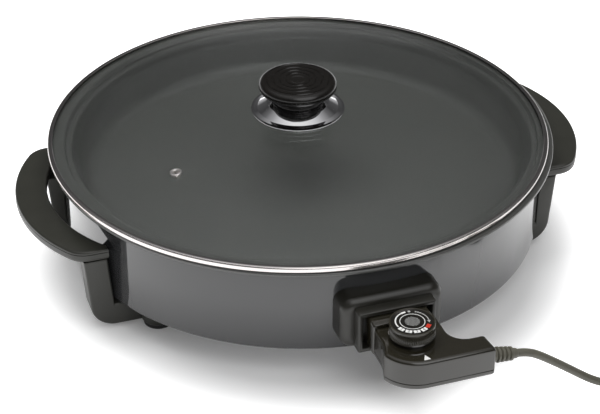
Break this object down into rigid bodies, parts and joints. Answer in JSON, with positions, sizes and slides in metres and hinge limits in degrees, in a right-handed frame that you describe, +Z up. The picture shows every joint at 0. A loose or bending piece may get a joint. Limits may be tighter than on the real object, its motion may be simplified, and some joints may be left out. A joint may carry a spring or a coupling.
{
  "type": "electric skillet",
  "caption": "Round electric skillet: deep pan in a grey jacket, loop handles on legs, domed glass lid with a knob, and a plug-in dial thermostat with a mains lead.",
  "frame": {"origin": "on the table, under the middle of the pan", "axes": "+X runs through the right handle, -Y runs out through the thermostat, +Z is up"},
  "size_m": [0.5267, 0.5365, 0.1516],
  "materials": {
    "nonstick": "satin non-stick coating with a fine fleck",
    "grey_enamel": "glossy enamel",
    "base_sheet": "plain sheet",
    "zinc": "zinc plated",
    "element": "heat-darkened sheath",
    "ceramic": "unglazed ceramic",
    "nickel": "nickel plated",
    "copper": "bare copper alloy",
    "bakelite": "satin moulded phenolic",
    "foot_rubber": "matte",
    "clear_glass": "clear tempered",
    "rim_steel": "polished band",
    "chrome": "polished",
    "gloss_black": "glossy moulded",
    "white_paint": "printed",
    "lead_grey": "satin flexible sleeve",
    "tie_black": "flat strap",
    "plug_black": "satin moulded"
  },
  "bodies": {
    "pan_base": {"pan": "nonstick", "jacket": "grey_enamel", "base_plate": "base_sheet", "base_screws": "zinc", "heating_element": "element", "element_seals": "ceramic", "element_clips_set": "zinc", "terminal_pins": "nickel", "probe_sleeve": "nickel", "terminal_block": "ceramic", "earth_blade": "copper", "socket_shroud": "bakelite", "socket_frame": "bakelite", "socket_screws": "zinc", "grip_left": "bakelite", "grip_right": "bakelite", "leg_left_front": "bakelite", "leg_left_back": "bakelite", "leg_right_front": "bakelite", "leg_right_back": "bakelite", "foot_left_front": "foot_rubber", "foot_left_back": "foot_rubber", "foot_right_front": "foot_rubber", "foot_right_back": "foot_rubber", "leg_screws": "zinc", "grip_screws": "zinc"},
    "lid": {"lid_glass": "clear_glass", "lid_rim": "rim_steel", "vent_eyelet": "rim_steel", "knob_cone": "chrome", "knob_grip": "gloss_black", "knob_screw": "zinc", "knob_washer": "zinc"},
    "thermostat": {"control_top": "gloss_black", "control_base": "gloss_black", "control_screws": "zinc", "dial_collar": "gloss_black", "pointer_mark": "white_paint", "receptacle_block": "ceramic", "contact_sleeves": "copper", "probe_rod": "nickel", "switch_bracket": "zinc", "bimetal_strip": "copper", "contact_arms": "copper", "strain_relief": "lead_grey", "cord_lead": "lead_grey", "cord_coil": "lead_grey", "cord_tie": "tie_black", "cord_tail": "lead_grey", "plug_body": "plug_black", "plug_pins": "nickel", "plug_earth": "nickel"},
    "dial": {"dial_knob": "gloss_black", "dial_face": "gloss_black", "dial_ring": "chrome", "dial_spindle": "zinc"}
  },
  "joints": [
    {"name": "lid_lift", "type": "slide", "parent": "pan_base", "child": "lid", "axis": [0, 0, 1], "range_m": [0, 0.15]},
    {"name": "controller_pull", "type": "slide", "parent": "pan_base", "child": "thermostat", "axis": [0, -1, 0], "range_m": [0, 0.08]},
    {"name": "dial_turn", "type": "hinge", "parent": "thermostat", "child": "dial", "pos_m": [0, -0.251, 0.0735], "axis": [0, 0, -1], "range_deg": [0, 250]}
  ]
}
